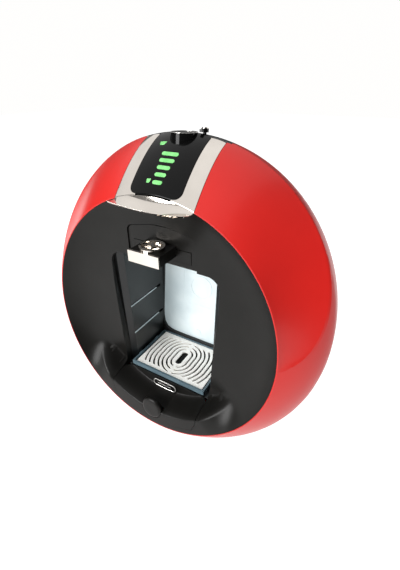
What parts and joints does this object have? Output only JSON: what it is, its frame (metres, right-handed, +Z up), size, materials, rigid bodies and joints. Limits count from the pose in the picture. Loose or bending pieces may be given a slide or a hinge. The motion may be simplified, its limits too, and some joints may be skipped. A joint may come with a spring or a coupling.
{
  "type": "capsule coffee machine",
  "caption": "Pod coffee machine with a round glossy red body, dished black face, open drink tunnel, chrome handle and rear water tank.",
  "frame": {"origin": "centre of the bounding box at the bottom of the rubber feet", "axes": "+X to the machine's left side seen from behind (right side seen from the front), +Y from the front to the tank at the back, +Z up"},
  "size_m": [0.3002, 0.1777, 0.3052],
  "materials": {
    "red_gloss": "high gloss moulded",
    "fascia_black": "satin moulded",
    "black_plastic": "fine grain moulded",
    "tunnel_black": "satin moulded",
    "holder_black": "satin moulded",
    "gloss_black": "high gloss",
    "grey_plastic": "moulded, glass filled",
    "white_plastic": "moulded",
    "chrome": "plated mirror",
    "badge_silver": "satin printed plate",
    "steel": "plain",
    "grill_steel": "polished stamping",
    "tray_clear": "translucent",
    "tank_clear": "translucent",
    "rubber": "soft",
    "silicone": "soft, milky",
    "led_green": "lit window",
    "pump_metal": "zinc and resin",
    "cast_aluminium": "as cast",
    "brass": "tab",
    "board_green": "solder mask"
  },
  "bodies": {
    "machine": {"base_plate": "black_plastic", "rubber_feet": "rubber", "rear_pedestal": "black_plastic", "tank_seat": "rubber", "side_cover_left": "red_gloss", "side_cover_right": "red_gloss", "rear_cover": "black_plastic", "spine_cover": "black_plastic", "front_fascia": "fascia_black", "lower_front_panel": "fascia_black", "front_badge": "badge_silver", "button_switch": "black_plastic", "head_cover": "fascia_black", "tunnel_liner": "tunnel_black", "chassis_frame": "grey_plastic", "brew_head": "grey_plastic", "hinge_bracket": "steel", "hinge_pin": "steel", "control_panel": "gloss_black", "led_bars": "led_green", "cup_icons": "led_green", "top_badge": "chrome", "pump": "pump_metal", "pump_mounts": "rubber", "thermoblock": "cast_aluminium", "heater_terminals": "brass", "flow_meter": "white_plastic", "hose_feed": "silicone", "hose_boiler": "silicone", "control_board": "board_green", "mains_inlet": "black_plastic", "cover_screws": "steel"},
    "handle": {"handle_band_left": "chrome", "handle_band_right": "chrome", "handle_lip": "chrome", "handle_arms": "steel"},
    "injector_unit": {"injector": "steel"},
    "holder": {"capsule_holder": "holder_black", "holder_front": "chrome", "holder_ring": "chrome"},
    "tray": {"drip_tray": "tray_clear", "tray_clips": "tray_clear"},
    "grill": {"drip_grill": "grill_steel"},
    "tank": {"water_tank": "tank_clear", "tank_valve": "white_plastic", "tank_boss": "tank_clear", "lid_pin": "steel"},
    "lid": {"tank_lid": "black_plastic"},
    "button": {"power_button": "fascia_black"},
    "selector": {"selector_knob": "gloss_black", "selector_tip": "chrome"}
  },
  "joints": [
    {"name": "handle_hinge", "type": "hinge", "parent": "machine", "child": "handle", "pos_m": [0, -0.00171, 0.28877], "axis": [-1, 0, 0], "range_deg": [0, 40]},
    {"name": "injector_lift", "type": "slide", "parent": "machine", "child": "injector_unit", "axis": [0, 0, 1], "range_m": [0, 0.008]},
    {"name": "holder_slide", "type": "slide", "parent": "machine", "child": "holder", "axis": [0, -1, 0], "range_m": [0, 0.082]},
    {"name": "tray_slide", "type": "slide", "parent": "machine", "child": "tray", "axis": [0, -1, 0], "range_m": [0, 0.095]},
    {"name": "grill_lift", "type": "slide", "parent": "tray", "child": "grill", "axis": [0, 0, 1], "range_m": [0, 0.04]},
    {"name": "tank_lift", "type": "slide", "parent": "machine", "child": "tank", "axis": [0, 0.1219, 0.9925], "range_m": [0, 0.06]},
    {"name": "lid_hinge", "type": "hinge", "parent": "tank", "child": "lid", "pos_m": [0, 0.08569, 0.22111], "axis": [-1, 0, 0], "range_deg": [0, 95]},
    {"name": "button_press", "type": "slide", "parent": "machine", "child": "button", "axis": [0, 0.9925, -0.1219], "range_m": [0, 0.002], "stiffness_N_per_m": 300},
    {"name": "selector_turn", "type": "hinge", "parent": "machine", "child": "selector", "pos_m": [0.015, -0.00279, 0.30049], "axis": [0, 0.1219, 0.9925], "range_deg": [-20, 20]}
  ],
  "couplings": [
    {"joint": "injector_lift", "follows": "handle_hinge", "m_per_rad": 0.011459}
  ]
}
